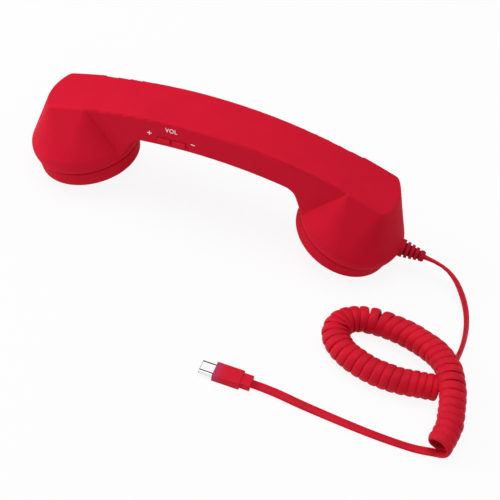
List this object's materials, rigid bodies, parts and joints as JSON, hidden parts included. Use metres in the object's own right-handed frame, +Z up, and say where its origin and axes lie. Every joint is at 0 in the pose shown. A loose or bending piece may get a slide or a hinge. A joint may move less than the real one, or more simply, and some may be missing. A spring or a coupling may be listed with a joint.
{
  "type": "telephone handset",
  "caption": "Red retro telephone handset with an arched handle, round ear and mouth caps, volume keys, and a curly cord that ends in a small flat plug.",
  "frame": {"origin": "on the surface that the handset stands on, under the middle of the handset's own box", "axes": "+X along the handle from the ear end to the mouth end, +Z up; the volume keys are on the -Y side"},
  "size_m": [0.2727, 0.1502, 0.0636],
  "materials": {
    "shell_plastic": "red moulded plastic with a fine satin texture",
    "cap_plastic": "red moulded plastic with a fine satin texture",
    "key_plastic": "red moulded plastic, satin",
    "felt": "black felt",
    "basket_plastic": "black moulded plastic",
    "diaphragm_film": "thin film",
    "magnet_steel": "plain plated steel",
    "boot_rubber": "black rubber",
    "capsule_aluminium": "drawn aluminium",
    "board_laminate": "green laminate",
    "switch_plastic": "black plastic",
    "screw_steel": "plated steel",
    "relief_rubber": "red soft moulding",
    "cord_jacket": "red satin jacket",
    "plug_grip": "red moulded plastic",
    "plug_metal": "bright drawn metal",
    "plug_insert": "dark plastic",
    "contact_metal": "plated",
    "wire_insulation": "thin soft insulation in plain colours"
  },
  "bodies": {
    "handset": {"handset_shell": "shell_plastic", "inner_cover": "shell_plastic", "ear_cap": "cap_plastic", "mouth_cap": "cap_plastic", "ear_felt": "felt", "mouth_felt": "felt", "speaker_frame": "basket_plastic", "speaker_cone": "diaphragm_film", "speaker_magnet": "magnet_steel", "mouth_weight": "magnet_steel", "microphone_boot": "boot_rubber", "microphone_capsule": "capsule_aluminium", "circuit_board": "board_laminate", "volume_up_switch": "switch_plastic", "volume_down_switch": "switch_plastic", "answer_switch": "switch_plastic", "board_screws": "screw_steel", "cover_screws": "screw_steel", "strain_relief": "relief_rubber", "cord_lead": "cord_jacket", "cord_curl": "cord_jacket", "cord_tail": "cord_jacket", "plug_overmould": "plug_grip", "plug_shell": "plug_metal", "plug_insert": "plug_insert", "plug_contacts": "contact_metal", "speaker_wires": "wire_insulation", "microphone_wires": "wire_insulation", "cord_wires": "wire_insulation"},
    "volume_up": {"volume_up_key": "key_plastic"},
    "volume_down": {"volume_down_key": "key_plastic"},
    "answer": {"answer_key": "key_plastic"}
  },
  "joints": [
    {"name": "volume_up_travel", "type": "slide", "parent": "handset", "child": "volume_up", "axis": [0, 1, 0], "range_m": [0, 0.0004], "stiffness_N_per_m": 400},
    {"name": "volume_down_travel", "type": "slide", "parent": "handset", "child": "volume_down", "axis": [0, 1, 0], "range_m": [0, 0.0004], "stiffness_N_per_m": 400},
    {"name": "answer_travel", "type": "slide", "parent": "handset", "child": "answer", "axis": [-0.0769, 0, 0.997], "range_m": [0, 0.0004], "stiffness_N_per_m": 400}
  ]
}
